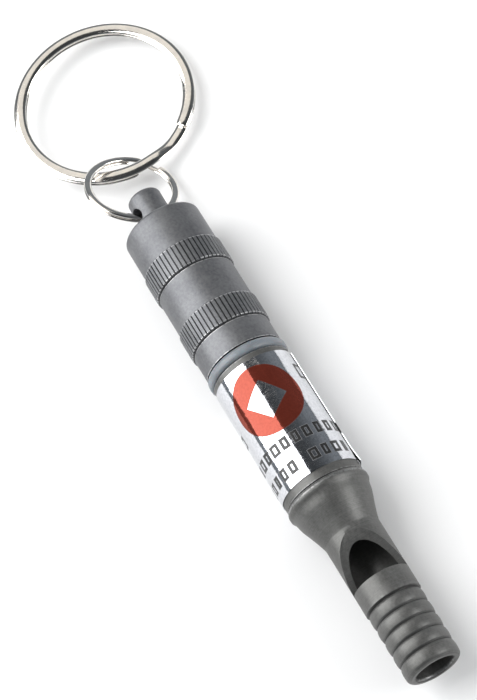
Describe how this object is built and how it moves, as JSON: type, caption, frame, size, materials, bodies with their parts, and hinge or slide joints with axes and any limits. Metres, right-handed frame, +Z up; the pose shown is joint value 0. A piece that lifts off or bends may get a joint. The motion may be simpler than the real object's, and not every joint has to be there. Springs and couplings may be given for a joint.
{
  "type": "capsule whistle key chain",
  "caption": "Turned metal whistle with a screw-capped waterproof capsule behind it, a foil band, rubber seal and linked split rings.",
  "frame": {"origin": "bottom centre of the whole object's box as it lies on a table with the whistle's window up", "axes": "+X along the whistle towards the mouthpiece, +Z up through the window, +Y across to the side on which the key ring lies"},
  "size_m": [0.1368, 0.0326, 0.0145],
  "materials": {
    "cap_metal": "bead-blasted, grey anodised",
    "whistle_metal": "bead-blasted, grey anodised, faint turning marks",
    "silicone": "satin silicone",
    "foil": "printed metallised foil",
    "paper": "uncoated",
    "plug_plastic": "moulded",
    "nickel": "bright nickel plate over steel"
  },
  "bodies": {
    "capsule": {"capsule_tube": "whistle_metal", "foil_label": "foil", "id_slip": "paper", "whistle_body": "whistle_metal", "spigot_seal": "silicone", "windway_plug": "plug_plastic"},
    "seal": {"cap_seal": "silicone"},
    "cap": {"cap": "cap_metal"},
    "link_ring": {"link_ring": "nickel"},
    "key_ring": {"key_ring": "nickel"}
  },
  "joints": [
    {"name": "cap_turn", "type": "hinge", "parent": "capsule", "child": "seal", "pos_m": [0.00881, -0.00302, 0.00725], "axis": [-1, 0, 0], "range_deg": [0, 2160]},
    {"name": "cap_lift", "type": "slide", "parent": "seal", "child": "cap", "axis": [-1, 0, 0], "range_m": [0, 0.00751]},
    {"name": "link_ring_swing", "type": "hinge", "parent": "cap", "child": "link_ring", "pos_m": [-0.02549, -0.00302, 0.00725], "axis": [0, 0.8572, -0.515], "range_deg": [-95, 115]},
    {"name": "key_ring_swing", "type": "hinge", "parent": "link_ring", "child": "key_ring", "pos_m": [-0.05209, 0, 0.00336], "axis": [0.9962, -0.0869, 0.0068], "range_deg": [0, 105]}
  ],
  "couplings": [
    {"joint": "cap_lift", "follows": "cap_turn", "m_per_rad": 0.00019894}
  ]
}
